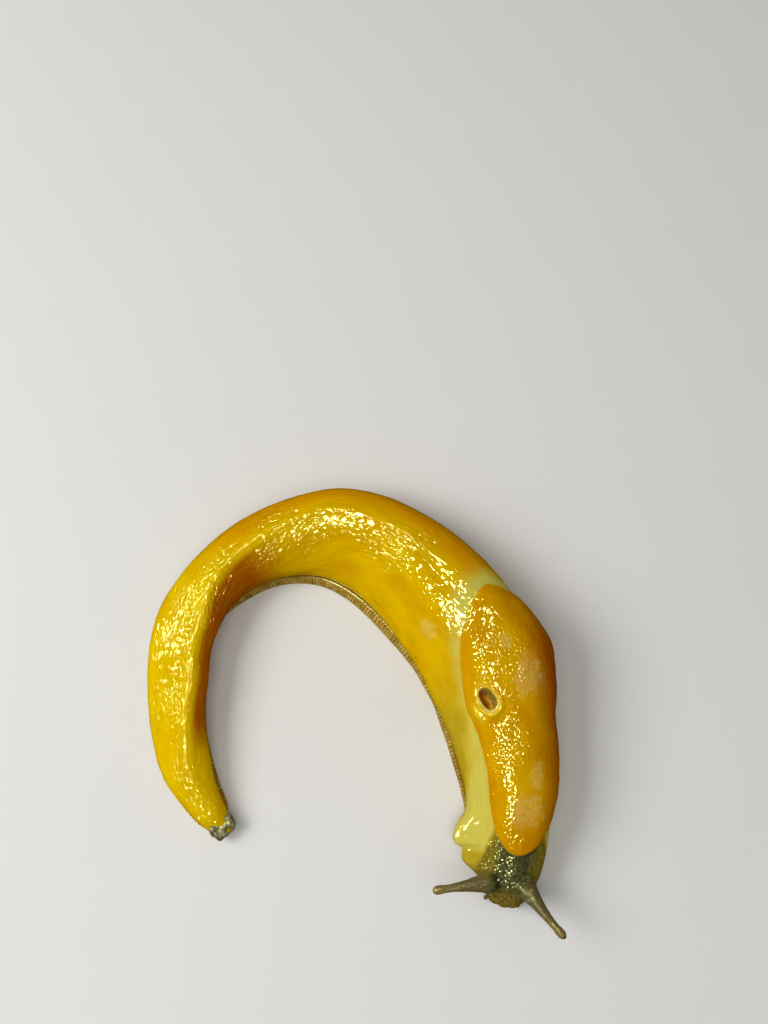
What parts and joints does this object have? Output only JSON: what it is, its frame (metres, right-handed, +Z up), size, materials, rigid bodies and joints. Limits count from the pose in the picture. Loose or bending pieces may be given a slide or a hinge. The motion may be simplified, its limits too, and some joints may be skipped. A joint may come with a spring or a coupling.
{
  "type": "banana slug model",
  "caption": "Life-size still model of a yellow banana slug, curled into an open ring as it lies when it circles a mate, resting flat on its sole.",
  "frame": {"origin": "centre of the bounding box in plan, at the height of the flat sole", "axes": "+Z up from the sole; the head looks along -Y and a little to -X, with the open side of the curl towards -Y; the slug's own right side faces the inside of the curl"},
  "size_m": [0.0856, 0.0902, 0.0182],
  "materials": {
    "body_skin": "wet, glossy over fine lengthwise wrinkles",
    "mantle_skin": "wet and glossy, finely pitted",
    "neck_skin": "wet, smooth, pale and slightly translucent",
    "head_skin": "moist, finely grained",
    "tentacle_skin": "moist, finely grained, translucent towards the tip",
    "pore_lip_skin": "wet, smooth",
    "foot_skin": "moist, with dark upright grooves",
    "eye": "wet and glossy",
    "slime_plug": "dried slime, lumpy, half dull"
  },
  "bodies": {
    "root": {"trunk_under_mantle_front": "body_skin", "trunk_under_mantle_middle": "body_skin", "trunk_under_mantle_rear": "body_skin", "trunk_middle": "body_skin", "trunk_rear": "body_skin", "tail_root": "body_skin", "tail_front": "body_skin", "tail_middle": "body_skin", "tail_rear": "body_skin", "tail_tip": "body_skin", "mantle": "mantle_skin", "pore_lip": "pore_lip_skin", "neck": "neck_skin", "head": "head_skin", "upper_tentacle_left": "tentacle_skin", "upper_tentacle_right": "tentacle_skin", "lower_tentacle_left": "tentacle_skin", "lower_tentacle_right": "tentacle_skin", "eye_left": "eye", "eye_right": "eye", "foot_1": "foot_skin", "foot_2": "foot_skin", "foot_3": "foot_skin", "foot_4": "foot_skin", "foot_5": "foot_skin", "foot_6": "foot_skin", "foot_7": "foot_skin", "foot_8": "foot_skin", "tail_plug": "slime_plug"}
  },
  "joints": []
}
